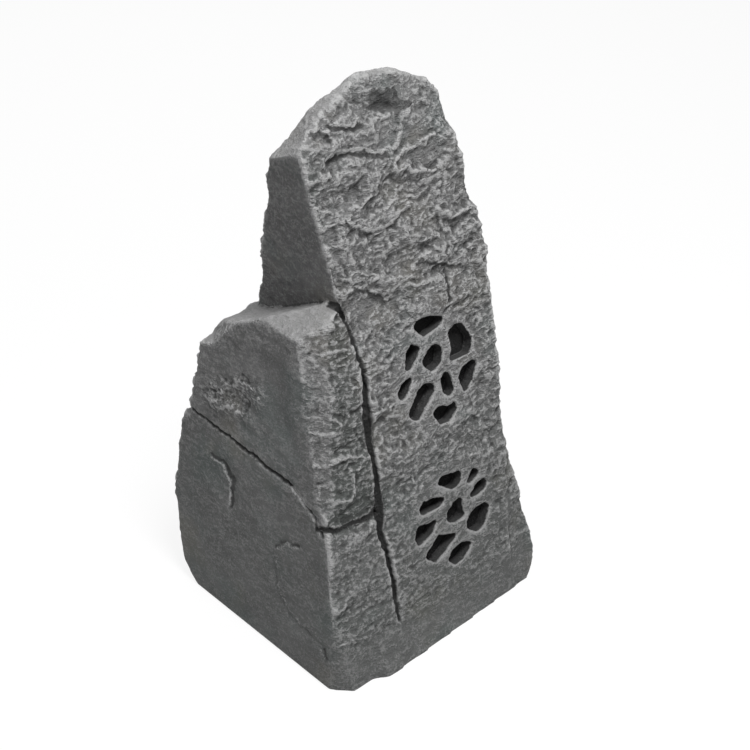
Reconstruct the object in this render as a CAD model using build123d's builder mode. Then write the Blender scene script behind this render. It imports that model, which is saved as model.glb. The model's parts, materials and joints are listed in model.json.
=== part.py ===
"""Rock shaped garden speaker: a moulded rock shell with two grilles, two drivers, a base plate and a gland.

Millimetres, +Z up, front towards -Y. The origin lies on the ground below the middle of the rock.
"""
import os
from math import cos, radians, sin
from typing import NamedTuple

from build123d import *


class Facet(NamedTuple):
    """A flat broken face of the rock: the way it faces, how it leans, and a point that it runs through."""

    facing: float         # degrees from the front, positive to the right
    lean: float           # degrees back from upright, negative where it overhangs
    reach: float          # distance of the face from the upright axis, at the height below
    height: float = 0.0
    buried: bool = False  # a face deep in the next block, where the hollows join


class Scar(NamedTuple):
    """Where a flake has broken off a face: a floor that slopes up from its lip to its tail."""

    facet: Facet
    lip: list             # corners across and up the face, with the floor on the right of them
    tail: list            # corners back to the first, where the floor runs out to the face
    depth: float          # of the floor below the ends of the lip


# Rock shell
half_width = 138.0         # right and left reach of the foot
half_depth = 138.0         # front and back reach of the foot
rock_height = 552.0        # crown above the ground
front_lean = 15.0          # lean of the grille face
wall = 7.0                 # moulded wall
crack_depth = 4.5          # cracks in the wall
stock = 1400.0             # block that the rock is cut from
cut_over = 14.0            # cuts run past the surface

# Grilles, in the front face
upper_level = 274.0        # middle of the upper grille, up the slope
lower_level = 116.0        # middle of the lower grille, up the slope
upper_inset = 19.0         # right edge of the upper driver, in from the reach of the foot
lower_inset = 31.0         # right edge of the lower driver, in from the reach of the foot
grille_drawn = 110.0       # span at which the hole corners below are drawn
hole_corner = 2.6          # rounding of the hole corners, at that span
pad_thickness = 10.0       # moulded pad behind each grille
pad_margin = 5.0           # pad beyond the driver
screen_thickness = 4.0     # foam weather screen let into the pad
screen_rim = 5.0           # foam beyond the holes
screen_land = 4.0          # pad between the foam and the screws
screen_gap = 0.2           # foam to the wall of its recess

# Driver, measured from its axis and from the back of the pad
frame_radius = 71.0        # flange of the basket
frame_sheet = 1.2          # pressed steel
flange_width = 14.0        # flange outside the surround
flange_edge = 5.0          # middle of the flange screws to the rim
flange_screw_count = 4
flange_screw_turn = 45.0   # degrees to the first flange screw
seat_gasket = 5.0          # rubber ring under the flange
surround_drop = 4.0        # surround seat below the front of the flange
surround_lip = 4.0         # outer lip of the surround
roll_width = 9.0           # half roll of the surround
cone_lip = 3.0             # lip of the surround on the cone
surround_sheet = 0.8
cone_sheet = 0.7
cone_depth = 19.0          # rim to neck
cap_radius = 18.0          # dust cap
cap_rise = 7.0
spider_outer = 36.5
spider_roll = 30.5         # outer end of the pleats
spider_drop = 31.0         # spider seat below the front of the flange
spider_pleats = 3
spider_wave = 1.4
spider_sheet = 0.5
former_inner = 12.9        # voice coil tube
former_sheet = 0.3
winding_sheet = 0.6
winding_length = 9.0
gap_clearance = 0.45       # coil to plate and coil to pole
basket_drop = 37.0         # back of the basket below the front of the flange
top_plate_radius = 36.0
top_plate_thickness = 5.0
magnet_radius = 41.0
magnet_bore = 20.0
magnet_thickness = 14.0
magnet_edge = 1.5
yoke_thickness = 5.0
pole_vent = 4.0            # radius of the vent through the pole
spoke_count = 4
spoke_width = 14.0
terminal_length = 24.0
terminal_width = 12.0
terminal_sheet = 1.6
tag_length = 9.0
tag_width = 4.0
tag_sheet = 0.8
glue_gap = 0.1             # bonded sleeves

# Base plate, let into the foot of the shell
plate_lift = 4.0           # plate above the ground
plate_thickness = 6.0
plate_gap = 0.6            # plate to the shell
base_gasket_thickness = 2.0
ledge_thickness = 6.0
opening_edge = 50.0        # opening in the ledge, in from the reach of the foot
opening_corner = 34.0
plate_screw_edge = 16.0    # plate screws, in from the reach of the foot
plate_screw_count = 8
boss_radius = 6.5
boss_height = 12.0

# Screws
screw_radius = 2.0
screw_head_radius = 3.8
screw_head_height = 2.4
plate_screw_length = 20.0
driver_screw_length = 13.0
pilot_gap = 0.05           # screw to its pilot hole
screw_play = 0.3           # screw to the piece it holds
socket_radius = 1.3
socket_depth = 1.4

# Cable gland in a recess in the back, low down
gland_across = 45.0        # from the middle, to the left seen from the front
gland_height = 46.0        # up the slope of the back face
niche_width = 60.0         # recess that the gland stands in
niche_height = 46.0
niche_depth = 21.0
niche_corner = 8.0
thread_radius = 8.0
thread_play = 0.25
gland_hex = 11.0           # half the width across the flats
gland_collar = 5.0
gland_washer = 1.5
gland_inside = 13.0        # thread inside the wall
locknut_thickness = 5.0
neck_radius = 7.4
neck_length = 10.0
cap_wall = 1.8
gland_cap_length = 14.0
seal_bore = 3.5            # radius of the hole for the cable
seal_length = 9.0
seal_seat = 5.6            # radius of the seal pocket
body_bore = 4.6            # way for the cable through the body
cap_hole = 4.4             # way for the cable through the cap
gland_gap = 0.1

# Faces that more than one block, or a piece let into the rock, shares
grille_face = Facet(0, front_lean, half_depth + 2)
left_flank = Facet(-90, 7.6, half_width + 4)
cross_joint = Facet(-104, -80, 27, 168, buried=True)
back_face = Facet(180, 3, half_depth + 6)
brow = Facet(2, 26, 10, 490)

slab = [
    grille_face,
    Facet(48, 4.6, half_width + 13, 202),          # bevel along the right edge
    Facet(89, -3.5, half_width - 11, 170),         # right flank, swelling upwards
    Facet(91, 8.5, half_width + 2, 350),           # right flank above the swell
    Facet(140, 8, 152),                            # back right corner
    Facet(180, 6, half_depth - 14),                # back
    Facet(180, 15.5, 82, 342),                     # back, leaning to the crown
    Facet(-132, 14, 98, 384),                      # back left corner
    Facet(-92, -6, 54, 397),                       # left cheek, overhanging
    brow,
    Facet(-60, 36, 57, 515),                       # left end of the brow
    Facet(-130, 60, 50, 517),                      # crown, falling to the back left
    Facet(-122, 46, 47, 512),                      # left end of the crown
    Facet(100, 67, 70, 543),                       # crown, falling to the right
    Facet(72, 40, 111, 512),                       # right end of the crown
    Facet(50, 80, -12, rock_height),               # crown
]
core = [
    grille_face,
    Facet(-90, 0, 49),                             # along the crack
    Facet(-90, 80, 49, 318),                       # top, in the slab
    Facet(90, 0, 60),                              # end in the slab
    Facet(180, 0, 60),                             # back, in the slab
]
shoulder = [
    Facet(-1, front_lean, half_depth + 5),         # front
    Facet(-40, 19, 146, 165),                      # bevel of the front left corner
    left_flank,
    Facet(-90, 62, 97, 341),                       # top, rising to the slab
    Facet(170, 62, 12, 338),                       # top, falling to the back
    Facet(-132, 34, 100, 338),                     # steep fall to the rear step
    Facet(40, 11.6, 26, 250),                      # end in the slab, along the crack
    Facet(110, 18, 60, 200),                       # end behind the slab
    Facet(180, 5, half_depth - 6),                 # back
    cross_joint,
]
step = [
    Facet(-12, front_lean, 40, 180),               # end under the shoulder
    left_flank,
    Facet(-132, 1, 163, 250),                      # rounded end
    Facet(-132, 66, 141, 285),                     # top
    Facet(176, 7, half_depth - 3),                 # back
    Facet(120, 10, 70),                            # end behind the slab
    cross_joint,
]
foot = [
    grille_face,
    Facet(-48, 7, 186),                            # front left corner
    left_flank,
    Facet(-132, -36, 168, 0),                      # back left corner, undercut along the ground
    Facet(-132, -5, 189, 100),                     # back left corner, swelling upwards
    Facet(-132, 11, 189, 100),                     # back left corner above the swell
    back_face,
    Facet(90, 30, 60),                             # end under the slab
    Facet(76, 80, -27, 173),                       # top, under the shoulder
]
toe = [
    Facet(2, front_lean + 2, half_depth + 4),      # front
    Facet(47, -24, 191, 12),                       # front right corner, undercut
    Facet(47, 9, 197, 40),                         # front right corner
    Facet(47, 23, 189, 92),                        # top of the bulge, towards the front
    Facet(90, -18, half_width - 3),                # undercut along the ground
    Facet(92, 6, half_width + 3, 20),              # right flank
    Facet(80, 44, 147, 140),                       # top of the bulge
    Facet(140, 7, 166),                            # back right corner
    Facet(176, 5, half_depth - 8),                 # back
    Facet(-90, 0, 0),                              # end under the slab
]
hem = [
    Facet(3, 24, half_depth + 6),                  # front, flaring to the ground
    Facet(-31, 20, 171),                           # front left corner
    Facet(90, 0, 108),                             # right end, in the bulge
    Facet(-90, 0, 110),                            # left end, in the foot
    Facet(0, 84, 100, 60),                         # top, in the foot
    Facet(180, 0, -40),                            # back, in the foot
]
rear = [
    Facet(180, 7, half_depth - 2),                 # broad back face
    Facet(120, 14, 140),                           # right of the back face
    Facet(172, 58, 74, 236),                       # top of the rear boulder
    Facet(90, 12, 118),                            # right end
    Facet(-90, 0, 60),                             # left end, in the shoulder
    Facet(0, 0, 40),                               # end under the slab
]
blocks = [slab, core, shoulder, step, foot, toe, hem, rear]

# Flakes broken off the faces
scars = [
    Scar(grille_face, depth=3.2,
         lip=[(-10, 434), (18, 433), (53, 442), (98, 460)], tail=[(94, 436), (46, 408), (-4, 408)]),
    Scar(grille_face, depth=3.0,
         lip=[(41, 496), (51, 499), (63, 516), (83, 525)], tail=[(107, 514), (112, 480), (62, 472)]),
    Scar(grille_face, depth=2.2,
         lip=[(-32, 360), (-12, 334), (8, 316)], tail=[(-6, 306), (-24, 318), (-38, 346)]),
    Scar(brow, depth=4.5,
         lip=[(25, 36), (36, 42), (47, 45), (60, 36)], tail=[(69, 23), (51, 22), (34, 26)]),
    Scar(left_flank, depth=3.6,
         lip=[(-29, 277), (-27, 315), (17, 336)], tail=[(40, 287), (59, 221), (2, 237)]),
]

# Corners of the grille holes, to the right and up from the middle of each cluster
upper_holes = [
    [(-20, 52), (-13, 58), (4, 58), (24, 48), (12, 43), (-8, 39)],
    [(24, 32), (33, 36), (43, 35), (53, 15), (48, 2), (17, 3), (24, 12)],
    [(-33, 32), (-26, 38), (-14, 31), (-20, 24), (-30, 15), (-38, 13)],
    [(-16, 14), (-7, 23), (5, 28), (13, 19), (7, 5), (-6, 2)],
    [(27, -17), (35, -9), (48, -6), (55, -10), (44, -27), (32, -37)],
    [(4, -10), (10, -5), (16, -7), (19, -27), (12, -32), (4, -25)],
    [(-53, -5), (-46, 4), (-28, 8), (-34, 0), (-44, -11), (-51, -11)],
    [(-44, -29), (-28, -11), (-18, -6), (-7, -10), (-5, -17), (-24, -32), (-31, -39), (-39, -37)],
    [(-15, -40), (-5, -35), (8, -41), (18, -39), (18, -48), (6, -56), (-6, -55)],
]
lower_holes = [
    [(-14, 46), (-5, 50), (22, 46), (20, 37), (14, 31), (6, 31)],
    [(37, 42), (45, 37), (44, 31), (32, 28), (21, 25)],
    [(28, 15), (39, 23), (53, 24), (52, 14), (38, 10), (28, 11)],
    [(-41, 29), (-34, 35), (-21, 34), (-1, 25), (-14, 21), (-39, 22)],
    [(-5, 10), (6, 17), (17, 19), (15, 5), (17, -4), (2, -5), (-8, 0)],
    [(18, -9), (30, -2), (45, -1), (52, -8), (40, -26), (28, -28), (16, -18)],
    [(-53, 2), (-45, 13), (-31, 9), (-17, 11), (-30, -3), (-50, -8)],
    [(-45, -23), (-22, -7), (-14, -12), (6, -17), (-18, -29), (-32, -35)],
    [(-16, -40), (-7, -32), (6, -29), (21, -36), (6, -48), (-8, -49)],
]

# Cracks: to the right as seen from outside, up the slope, and width
front_crack = [
    (-58, 403, 3), (-60, 391, 4), (-48, 359, 3), (-42, 321, 3), (-43, 293, 6), (-46, 269, 9), (-49, 239, 7),
    (-49, 207, 4), (-52, 171, 11), (-57, 143, 5), (-54, 111, 5), (-54, 80, 5), (-56, 46, 2),
]
cross_crack = [(-132, 183, 4), (-104, 170, 4), (-82, 169, 5), (-68, 167, 6), (-50, 171, 9)]
left_crack = [
    (-114, 206, 3), (-70, 203, 5), (-14, 200, 4), (40, 196, 5), (57, 191, 5), (73, 182, 5), (92, 166, 3),
]


def facet_plane(facet, inset=0.0):
    """Plane of a facet, its X level and its Y up the slope, moved inwards by the inset."""
    facing = radians(facet.facing)
    lean = radians(facet.lean)
    face = Plane(
        origin=(facet.reach * sin(facing), -facet.reach * cos(facing), facet.height),
        x_dir=(cos(facing), sin(facing), 0),
        z_dir=(sin(facing) * cos(lean), -cos(facing) * cos(lean), sin(lean)),
    )
    return face.offset(2 * inset if facet.buried else -inset)


def rock_block(facets, inset):
    """One block of the rock, cut by its facets; an inset block is open below."""
    with BuildPart(Plane.XY.offset(-inset)) as block:
        Box(stock, stock, stock, align=(Align.CENTER, Align.CENTER, Align.MIN))
        for facet in facets:
            split(bisect_by=facet_plane(facet, inset), keep=Keep.BOTTOM)
    return block.part


def rock_form(inset=0.0):
    """The whole rock, or its inside at a distance from the surface."""
    pieces = [rock_block(facets, inset) for facets in blocks]
    with BuildPart() as form:
        for piece in pieces:
            add(piece)
    return form.part


def ribbon(points):
    """Outline of a crack from the points of its middle line and its width at each."""
    one_side = [(x - width / 2, y - width / 4) for x, y, width in points]
    other_side = [(x + width / 2, y + width / 4) for x, y, width in points]
    return one_side + other_side[::-1]


def flake(scar):
    """The piece broken off at a scar, standing past the face."""
    face = facet_plane(scar.facet)
    start = face.from_local_coords((*scar.lip[0], -scar.depth))
    end = face.from_local_coords((*scar.lip[-1], -scar.depth))
    outlet = face.from_local_coords((*scar.tail[len(scar.tail) // 2], 0))
    floor = Plane(start, x_dir=end - start, z_dir=(outlet - start).cross(end - start))
    with BuildPart() as piece:
        with BuildSketch(face.offset(-wall)):
            Polygon(*scar.lip, *scar.tail, align=None)
        extrude(amount=wall + cut_over)
        split(bisect_by=floor, keep=Keep.TOP)
    return piece.part


def screw_ring(across, along, count, turn=0.0):
    """Places of a ring of screws, spaced evenly in angle, from its two half sizes."""
    angles = [radians(turn + 360 * index / count) for index in range(count)]
    return [(across * cos(angle), along * sin(angle)) for angle in angles]


front = facet_plane(grille_face)
left = facet_plane(left_flank)
back = facet_plane(back_face)
pad_face = front.offset(-wall - pad_thickness)
ledge_base = plate_lift + plate_thickness + base_gasket_thickness
opening_width = 2 * (half_width - opening_edge)
opening_depth = 2 * (half_depth - opening_edge)
plate_places = screw_ring(half_width - plate_screw_edge, half_depth - plate_screw_edge, plate_screw_count)
screw_circle = frame_radius - flange_edge
flange_places = screw_ring(screw_circle, screw_circle, flange_screw_count, flange_screw_turn)
screen_radius = screw_circle - screw_radius - screen_land
pad_radius = frame_radius + pad_margin
grille_scale = 2 * (screen_radius - screen_rim) / grille_drawn
upper_grille = (half_width - upper_inset - frame_radius, upper_level)
lower_grille = (half_width - lower_inset - frame_radius, lower_level)
grilles = {"upper": (upper_grille, upper_holes), "lower": (lower_grille, lower_holes)}
rock = rock_form()
hollow = rock_form(wall)
plate_outline = rock_form(wall + plate_gap)

with BuildPart() as ledge:
    with BuildSketch(Plane.XY.offset(ledge_base)):
        Rectangle(2 * half_width, 2 * half_depth)
        RectangleRounded(opening_width, opening_depth, opening_corner, mode=Mode.SUBTRACT)
    extrude(amount=ledge_thickness)
    with BuildSketch(Plane.XY.offset(ledge_base)):
        with Locations(*plate_places):
            Circle(boss_radius)
    extrude(amount=ledge_thickness + boss_height)
    add(hollow, mode=Mode.INTERSECT)

with BuildPart() as rock_shell:
    add(rock)
    add(hollow, mode=Mode.SUBTRACT)
    add(ledge.part)
    for centre, corners in grilles.values():
        with BuildSketch(front.offset(-wall)):
            with Locations(centre):
                Circle(pad_radius)
        extrude(amount=-pad_thickness)
        with BuildSketch(pad_face):
            with Locations(centre):
                Circle(screen_radius + screen_gap)
        extrude(amount=screen_thickness, mode=Mode.SUBTRACT)
        with BuildSketch(pad_face):
            with Locations(centre):
                with Locations(*flange_places):
                    Circle(screw_radius + pilot_gap)
        extrude(amount=pad_thickness, mode=Mode.SUBTRACT)
        with BuildSketch(pad_face):
            with Locations(centre):
                for hole in corners:
                    Polygon(*[(x * grille_scale, y * grille_scale) for x, y in hole], align=None)
            fillet(vertices(), hole_corner * grille_scale)
        extrude(amount=pad_thickness + wall + cut_over, mode=Mode.SUBTRACT)
    for scar in scars:
        add(flake(scar), mode=Mode.SUBTRACT)
    for face, crack in ((front, front_crack), (front, cross_crack), (left, left_crack)):
        with BuildSketch(face.offset(-crack_depth)):
            Polygon(*ribbon(crack), align=None)
        extrude(amount=crack_depth + cut_over, mode=Mode.SUBTRACT)
    with BuildSketch(Plane.XY.offset(ledge_base)):
        with Locations(*plate_places):
            Circle(screw_radius + pilot_gap)
    extrude(amount=ledge_thickness + boss_height, mode=Mode.SUBTRACT)
    with BuildSketch(back):
        with Locations((gland_across, gland_height)):
            RectangleRounded(niche_width + 2 * wall, niche_height + 2 * wall, niche_corner + wall)
    extrude(amount=-niche_depth - wall)
    with BuildSketch(back):
        with Locations((gland_across, gland_height)):
            RectangleRounded(niche_width, niche_height, niche_corner)
    extrude(amount=-niche_depth, mode=Mode.SUBTRACT)
    with BuildSketch(back.offset(-niche_depth)):
        with Locations((gland_across, gland_height)):
            Circle(thread_radius + thread_play)
    extrude(amount=-wall, mode=Mode.SUBTRACT)
rock_shell.part.label = "rock_shell"


def driver_seat(centre):
    """Plane on the back of the pad, in the middle of a grille, looking out."""
    return Plane(pad_face.from_local_coords((*centre, 0)), x_dir=front.x_dir, z_dir=front.z_dir)


def half_section(seat):
    """Plane for half profiles about the driver's axis: X outwards from the axis, Y towards the listener."""
    return Plane(seat.origin, x_dir=seat.x_dir, z_dir=-seat.y_dir)


def driver_axis(seat):
    return Axis(seat.origin, seat.z_dir)


def turned(seat, *corners):
    """A turned piece of the driver from the corners of its half profile."""
    with BuildPart() as piece:
        with BuildSketch(half_section(seat)):
            Polygon(*corners, align=None)
        revolve(axis=driver_axis(seat))
    return piece.part


def screws(seat, places, length):
    """Pan head screws: heads behind the seat plane, shanks along its Z."""
    with BuildPart() as group:
        with BuildSketch(seat):
            with Locations(*places):
                Circle(screw_radius)
        extrude(amount=length)
        with BuildSketch(seat):
            with Locations(*places):
                Circle(screw_head_radius)
        extrude(amount=-screw_head_height)
        with BuildSketch(seat.offset(-screw_head_height)):
            with Locations(*places):
                RegularPolygon(socket_radius, 6)
        extrude(amount=socket_depth, mode=Mode.SUBTRACT)
    return group.part


# Levels of the driver along its axis, from the back of the pad
flange_front = -seat_gasket
flange_back = flange_front - frame_sheet
surround_seat = flange_front - surround_drop
spider_seat = flange_front - spider_drop
basket_back = flange_front - basket_drop
top_plate_front = basket_back - frame_sheet
top_plate_back = top_plate_front - top_plate_thickness
magnet_back = top_plate_back - magnet_thickness
yoke_back = magnet_back - yoke_thickness
gap_middle = (top_plate_front + top_plate_back) / 2

# Radii of the driver that follow from its flange
surround_outer = frame_radius - flange_width
roll_outer = surround_outer - surround_lip
roll_inner = roll_outer - roll_width
surround_inner = roll_inner - cone_lip

# Radii of the driver that follow from the coil
former_outer = former_inner + former_sheet
neck = former_outer + glue_gap
gap_radius = former_outer + winding_sheet + gap_clearance
pole_radius = former_inner - gap_clearance
cone_neck = surround_seat - cone_depth


def cone_height(radius):
    """Height of the front of the cone at a radius."""
    return surround_seat - cone_depth * (surround_inner - radius) / (surround_inner - neck)


def make_basket(seat):
    wall_top = roll_outer - surround_sheet
    wall_foot = spider_outer + glue_gap
    with BuildPart() as basket:
        with BuildSketch(half_section(seat)):
            with BuildLine():
                inside = Polyline(
                    (frame_radius, flange_front),
                    (surround_outer + glue_gap, flange_front),
                    (surround_outer + glue_gap, surround_seat),
                    (wall_top, surround_seat),
                    (wall_foot, spider_seat + spider_wave),
                    (wall_foot, spider_seat),
                    (spider_roll, spider_seat),
                    (spider_roll, basket_back),
                    (gap_radius + frame_sheet, basket_back),
                )
                offset(inside, amount=frame_sheet, side=Side.LEFT)
            make_face()
        revolve(axis=driver_axis(seat))
        with BuildSketch(seat):
            Circle(wall_top - frame_sheet)
            Circle(wall_foot + 2 * frame_sheet, mode=Mode.SUBTRACT)
            with PolarLocations(0, spoke_count // 2):
                Rectangle(2 * frame_radius, spoke_width, mode=Mode.SUBTRACT)
        extrude(amount=spider_seat, mode=Mode.SUBTRACT)
        with BuildSketch(seat.offset(spider_seat)):
            with Locations((0, wall_foot)):
                Rectangle(terminal_length, terminal_width, align=(Align.CENTER, Align.MIN))
        extrude(amount=-frame_sheet)
        with BuildSketch(seat.offset(flange_front)):
            with Locations(*flange_places):
                Circle(screw_radius + screw_play)
        extrude(amount=-frame_sheet, mode=Mode.SUBTRACT)
    return basket.part


def make_frame_gasket(seat):
    with BuildPart() as gasket:
        with BuildSketch(seat):
            Circle(frame_radius)
            Circle(surround_outer, mode=Mode.SUBTRACT)
            with Locations(*flange_places):
                Circle(screw_radius + screw_play, mode=Mode.SUBTRACT)
        extrude(amount=-seat_gasket)
    return gasket.part


def make_surround(seat):
    lip = surround_seat + surround_sheet
    crest = (roll_outer + roll_inner) / 2
    rise = (roll_outer - roll_inner) / 2
    with BuildPart() as surround:
        with BuildSketch(half_section(seat)):
            with BuildLine():
                Polyline((roll_outer, lip), (surround_outer, lip), (surround_outer, surround_seat),
                         (roll_outer - surround_sheet, surround_seat))
                ThreePointArc((roll_outer - surround_sheet, surround_seat),
                              (crest, lip + rise - surround_sheet),
                              (roll_inner + surround_sheet, surround_seat))
                Polyline((roll_inner + surround_sheet, surround_seat), (surround_inner, surround_seat),
                         (surround_inner, lip), (roll_inner, lip))
                ThreePointArc((roll_inner, lip), (crest, lip + rise), (roll_outer, lip))
            make_face()
        revolve(axis=driver_axis(seat))
    return surround.part


def make_cone(seat):
    return turned(
        seat,
        (roll_inner, surround_seat),
        (surround_inner, surround_seat),
        (neck, cone_neck),
        (neck, cone_neck - cone_sheet),
        (surround_inner, surround_seat - cone_sheet),
        (roll_inner, surround_seat - cone_sheet),
    )


def make_dust_cap(seat):
    rim = cone_height(cap_radius)
    inner_rim = cone_height(cap_radius - cone_sheet)
    with BuildPart() as cap:
        with BuildSketch(half_section(seat)):
            with BuildLine():
                TangentArc((0, rim + cap_rise), (cap_radius, rim), tangent=(1, 0))
                Line((cap_radius, rim), (cap_radius - cone_sheet, inner_rim))
                TangentArc((0, rim + cap_rise - cone_sheet), (cap_radius - cone_sheet, inner_rim),
                           tangent=(1, 0))
                Line((0, rim + cap_rise - cone_sheet), (0, rim + cap_rise))
            make_face()
        revolve(axis=driver_axis(seat))
    return cap.part


def make_spider(seat):
    pleat = (spider_roll - neck) / (2 * spider_pleats + 1)
    waves = [
        (spider_roll - (turn + 1) * pleat, spider_wave * (-1) ** turn)
        for turn in range(2 * spider_pleats)
    ]
    path = [(spider_outer, 0), (spider_roll, 0), *waves, (neck, 0)]
    front_side = [(radius, spider_seat + rise + spider_sheet) for radius, rise in path]
    back_side = [(radius, spider_seat + rise) for radius, rise in reversed(path)]
    return turned(seat, *front_side, *back_side)


def make_voice_coil(seat):
    winding_front = gap_middle + winding_length / 2
    winding_back = gap_middle - winding_length / 2
    winding_radius = former_outer + winding_sheet
    return turned(
        seat,
        (former_inner, cone_neck),
        (former_outer, cone_neck),
        (former_outer, winding_front),
        (winding_radius, winding_front),
        (winding_radius, winding_back),
        (former_inner, winding_back),
    )


def make_top_plate(seat):
    return turned(
        seat,
        (gap_radius, top_plate_front),
        (top_plate_radius, top_plate_front),
        (top_plate_radius, top_plate_back),
        (gap_radius, top_plate_back),
    )


def make_magnet(seat):
    with BuildPart() as magnet:
        with BuildSketch(seat.offset(top_plate_back)):
            Circle(magnet_radius)
            Circle(magnet_bore, mode=Mode.SUBTRACT)
        extrude(amount=-magnet_thickness)
        chamfer(magnet.edges().filter_by(GeomType.CIRCLE).sort_by(SortBy.RADIUS)[-2:], magnet_edge)
    return magnet.part


def make_yoke(seat):
    return turned(
        seat,
        (pole_vent, top_plate_front),
        (pole_radius, top_plate_front),
        (pole_radius, magnet_back),
        (top_plate_radius, magnet_back),
        (top_plate_radius, yoke_back),
        (pole_vent, yoke_back),
    )


def make_terminal_strip(seat):
    with BuildPart() as strip:
        with BuildSketch(seat.offset(spider_seat - frame_sheet)):
            with Locations((0, spider_outer + glue_gap)):
                Rectangle(terminal_length, terminal_width, align=(Align.CENTER, Align.MIN))
        extrude(amount=-terminal_sheet)
    return strip.part


def make_terminal_tags(seat):
    with BuildPart() as tags:
        with BuildSketch(seat.offset(spider_seat - frame_sheet - terminal_sheet)):
            with Locations((0, spider_outer + glue_gap + terminal_width / 2)):
                with GridLocations(terminal_length / 2, 0, 2, 1):
                    Rectangle(tag_width, tag_length)
        extrude(amount=-tag_sheet)
    return tags.part


def make_driver_screws(seat):
    return screws(seat.offset(flange_back), flange_places, driver_screw_length)


def make_foam_screen(seat):
    with BuildPart() as screen:
        with BuildSketch(seat):
            Circle(screen_radius)
        extrude(amount=screen_thickness)
    return screen.part


driver_pieces = {
    "foam_screen": make_foam_screen,
    "frame_gasket": make_frame_gasket,
    "basket": make_basket,
    "surround": make_surround,
    "cone": make_cone,
    "dust_cap": make_dust_cap,
    "spider": make_spider,
    "voice_coil": make_voice_coil,
    "top_plate": make_top_plate,
    "magnet": make_magnet,
    "yoke": make_yoke,
    "terminal_strip": make_terminal_strip,
    "terminal_tags": make_terminal_tags,
    "driver_screws": make_driver_screws,
}

# Base plate and its gasket, cut to the inside of the foot
plate_top = plate_lift + plate_thickness
foot_section = section(plate_outline, section_by=Plane.XY, mode=Mode.PRIVATE)
ledge_section = section(plate_outline, section_by=Plane.XY.offset(ledge_base), mode=Mode.PRIVATE)

with BuildPart() as base_plate:
    extrude(foot_section, amount=plate_top)
    extrude(ledge_section, amount=-ledge_base, mode=Mode.INTERSECT)
    split(bisect_by=Plane.XY.offset(plate_lift), keep=Keep.TOP)
    with BuildSketch(Plane.XY.offset(plate_lift)):
        with Locations(*plate_places):
            Circle(screw_radius + screw_play)
    extrude(amount=plate_thickness, mode=Mode.SUBTRACT)
base_plate.part.label = "base_plate"

with BuildPart() as base_gasket:
    with BuildSketch(Plane.XY.offset(plate_top)):
        add(base_plate.faces().sort_by(Axis.Z)[-1])
        RectangleRounded(opening_width, opening_depth, opening_corner, mode=Mode.SUBTRACT)
    extrude(amount=base_gasket_thickness)
base_gasket.part.label = "base_gasket"

base_screws = screws(Plane.XY.offset(plate_lift), plate_places, plate_screw_length)
base_screws.label = "base_screws"

# Cable gland through the floor of the recess
gland_middle = back.from_local_coords((gland_across, gland_height, -niche_depth))
gland_seat = Plane(gland_middle, x_dir=back.x_dir, z_dir=back.z_dir)
collar_back = gland_washer
collar_front = collar_back + gland_collar
neck_front = collar_front + neck_length
cap_front = collar_front + gland_gap + gland_cap_length
cap_bore = neck_radius + gland_gap
cap_floor = cap_front - cap_wall
seal_radius = seal_seat - gland_gap

with BuildPart() as gland_body:
    with BuildSketch(gland_seat):
        Circle(thread_radius)
    extrude(amount=collar_back)
    extrude(gland_body.faces().sort_by(Axis((0, 0, 0), gland_seat.z_dir))[0], amount=wall + gland_inside)
    with BuildSketch(gland_seat.offset(collar_back)):
        RegularPolygon(gland_hex, 6, major_radius=False)
    extrude(amount=gland_collar)
    with BuildSketch(gland_seat.offset(collar_front)):
        Circle(neck_radius)
    extrude(amount=neck_length)
    with BuildSketch(gland_seat.offset(neck_front)):
        Circle(seal_seat)
    extrude(amount=-seal_length, mode=Mode.SUBTRACT)
    with BuildSketch(gland_seat.offset(neck_front)):
        Circle(body_bore)
    extrude(amount=-neck_front - wall - gland_inside, mode=Mode.SUBTRACT)
gland_body.part.label = "gland_body"

with BuildPart() as gland_ring:
    with BuildSketch(gland_seat):
        Circle(gland_hex)
        Circle(thread_radius + thread_play, mode=Mode.SUBTRACT)
    extrude(amount=gland_washer)
gland_ring.part.label = "gland_ring"

with BuildPart() as gland_locknut:
    with BuildSketch(gland_seat.offset(-wall)):
        RegularPolygon(gland_hex, 6, major_radius=False)
        Circle(thread_radius + gland_gap, mode=Mode.SUBTRACT)
    extrude(amount=-locknut_thickness)
gland_locknut.part.label = "gland_locknut"

with BuildPart() as gland_seal:
    with BuildSketch(gland_seat.offset(neck_front)):
        Circle(seal_radius)
        Circle(seal_bore, mode=Mode.SUBTRACT)
    extrude(amount=-seal_length)
gland_seal.part.label = "gland_seal"

with BuildPart() as gland_cap:
    with BuildSketch(gland_seat.offset(collar_front + gland_gap)):
        RegularPolygon(cap_bore + cap_wall, 6, major_radius=False)
    extrude(amount=gland_cap_length)
    fillet(gland_cap.faces().sort_by(Axis((0, 0, 0), gland_seat.z_dir))[-1].edges(), cap_wall)
    with BuildSketch(gland_seat.offset(collar_front)):
        Circle(cap_bore)
    extrude(amount=cap_floor - collar_front, mode=Mode.SUBTRACT)
    with BuildSketch(gland_seat.offset(cap_front)):
        Circle(cap_hole)
    extrude(amount=-gland_cap_length, mode=Mode.SUBTRACT)
gland_cap.part.label = "gland_cap"

os.makedirs("parts", exist_ok=True)
for piece in (rock_shell, base_plate, base_gasket,
              gland_body, gland_ring, gland_locknut, gland_seal, gland_cap):
    export_step(piece.part, f"parts/{piece.part.label}.step")
export_step(base_screws, "parts/base_screws.step")
for position, (centre, corners) in grilles.items():
    for name, make in driver_pieces.items():
        piece = make(driver_seat(centre))
        piece.label = f"{position}_{name}"
        export_step(piece, f"parts/{piece.label}.step")
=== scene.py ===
"""Rock shaped garden speaker: weathered rock, soft pieces of its drivers, finishes and a plain studio."""
import json
from math import cos, pi, radians, sin, sqrt

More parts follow.
